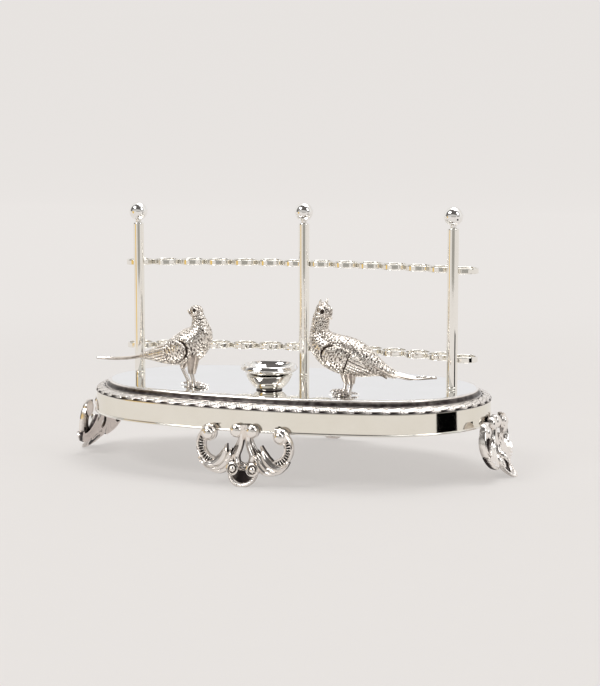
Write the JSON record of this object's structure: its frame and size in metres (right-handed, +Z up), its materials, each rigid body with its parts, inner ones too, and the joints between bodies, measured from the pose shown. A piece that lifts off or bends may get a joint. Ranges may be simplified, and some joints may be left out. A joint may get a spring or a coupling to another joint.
{
  "type": "footed tray with a ring rack",
  "caption": "Oval footed table tray with ball-topped posts that carry two curved rows of open rings, two pheasant figures, and a flared dish that lifts out of a small cup.",
  "frame": {"origin": "middle of the tray on the table, under its deck", "axes": "+Z up, X along the tray's length, -Y towards the side where the birds and the dish stand"},
  "size_m": [0.222, 0.1278, 0.1213],
  "materials": {
    "polished_silver": "polished",
    "antiqued_silver": "satin",
    "brass": "satin"
  },
  "bodies": {
    "stand": {"deck_plate": "polished_silver", "cove_moulding": "polished_silver", "leaf_border": "antiqued_silver", "apron_band": "polished_silver", "edge_wire": "polished_silver", "foot_front": "antiqued_silver", "foot_back": "antiqued_silver", "foot_left": "antiqued_silver", "foot_right": "antiqued_silver", "post_left": "polished_silver", "post_middle": "polished_silver", "post_right": "polished_silver", "finial_left": "polished_silver", "finial_middle": "polished_silver", "finial_right": "polished_silver", "post_washers": "brass", "post_nuts": "brass", "upper_ring_01": "polished_silver", "upper_ring_02": "polished_silver", "upper_ring_03": "polished_silver", "upper_ring_04": "polished_silver", "upper_ring_05": "polished_silver", "upper_ring_06": "polished_silver", "upper_ring_07": "polished_silver", "upper_ring_08": "polished_silver", "upper_ring_09": "polished_silver", "upper_ring_10": "polished_silver", "upper_ring_11": "polished_silver", "upper_ring_12": "polished_silver", "upper_ring_13": "polished_silver", "upper_ring_14": "polished_silver", "lower_ring_01": "polished_silver", "lower_ring_02": "polished_silver", "lower_ring_03": "polished_silver", "lower_ring_04": "polished_silver", "lower_ring_05": "polished_silver", "lower_ring_06": "polished_silver", "lower_ring_07": "polished_silver", "lower_ring_08": "polished_silver", "lower_ring_09": "polished_silver", "lower_ring_10": "polished_silver", "lower_ring_11": "polished_silver", "lower_ring_12": "polished_silver", "lower_ring_13": "polished_silver", "lower_ring_14": "polished_silver", "ring_solder": "polished_silver", "cup": "polished_silver", "cup_screw": "brass", "hen_pheasant": "antiqued_silver", "cock_pheasant": "antiqued_silver", "bird_studs": "brass", "bird_nuts": "brass"},
    "dish": {"dish": "polished_silver"}
  },
  "joints": [
    {"name": "dish_lift", "type": "slide", "parent": "stand", "child": "dish", "axis": [0, 0, 1], "range_m": [0, 0.09]}
  ]
}
